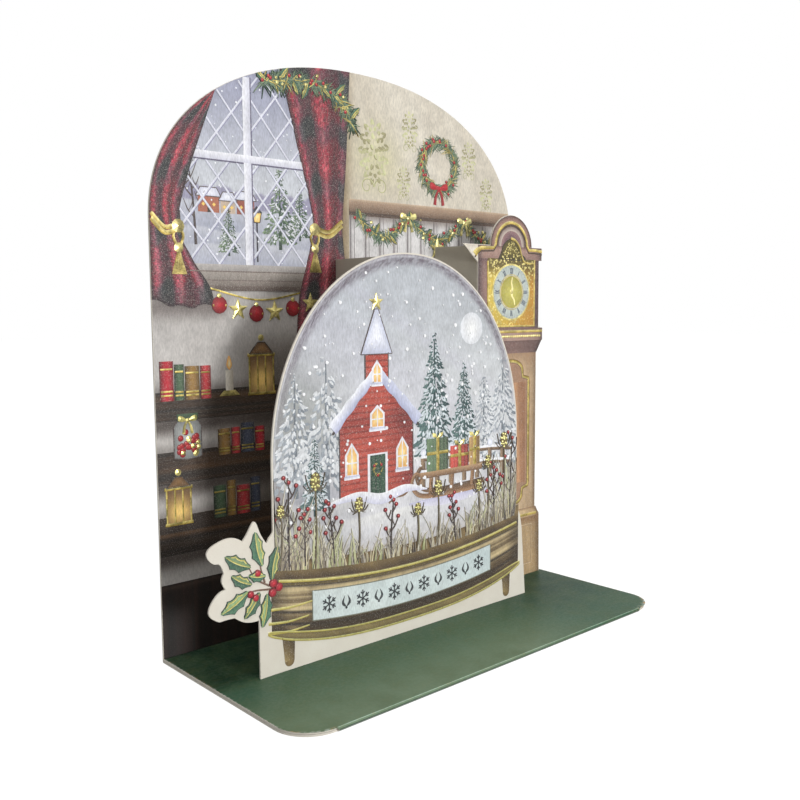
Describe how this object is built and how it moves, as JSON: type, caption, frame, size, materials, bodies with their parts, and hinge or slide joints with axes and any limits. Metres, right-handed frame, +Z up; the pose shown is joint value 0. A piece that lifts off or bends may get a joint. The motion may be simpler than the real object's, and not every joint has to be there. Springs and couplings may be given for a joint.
{
  "type": "greeting card",
  "caption": "Stand-up greeting card with an arched back panel folded onto a green base, a domed snow-globe panel with a leaf wing and a long-case clock panel held out on folded struts.",
  "frame": {"origin": "middle of the base's underside, on the surface that the card stands on", "axes": "+Z up, +Y away from the viewer towards the back panel, +X to the viewer's right along the fold"},
  "size_m": [0.1547, 0.0696, 0.18],
  "materials": {
    "back_card": "printed, satin",
    "globe_panel": "printed, fine tooth",
    "centre_strut": "printed, matte",
    "clock_panel": "printed, fine tooth",
    "clock_strut": "printed, matte"
  },
  "bodies": {
    "root": {"back_card": "back_card", "globe_panel": "globe_panel", "centre_strut": "centre_strut", "clock_panel": "clock_panel", "clock_strut": "clock_strut"}
  },
  "joints": []
}
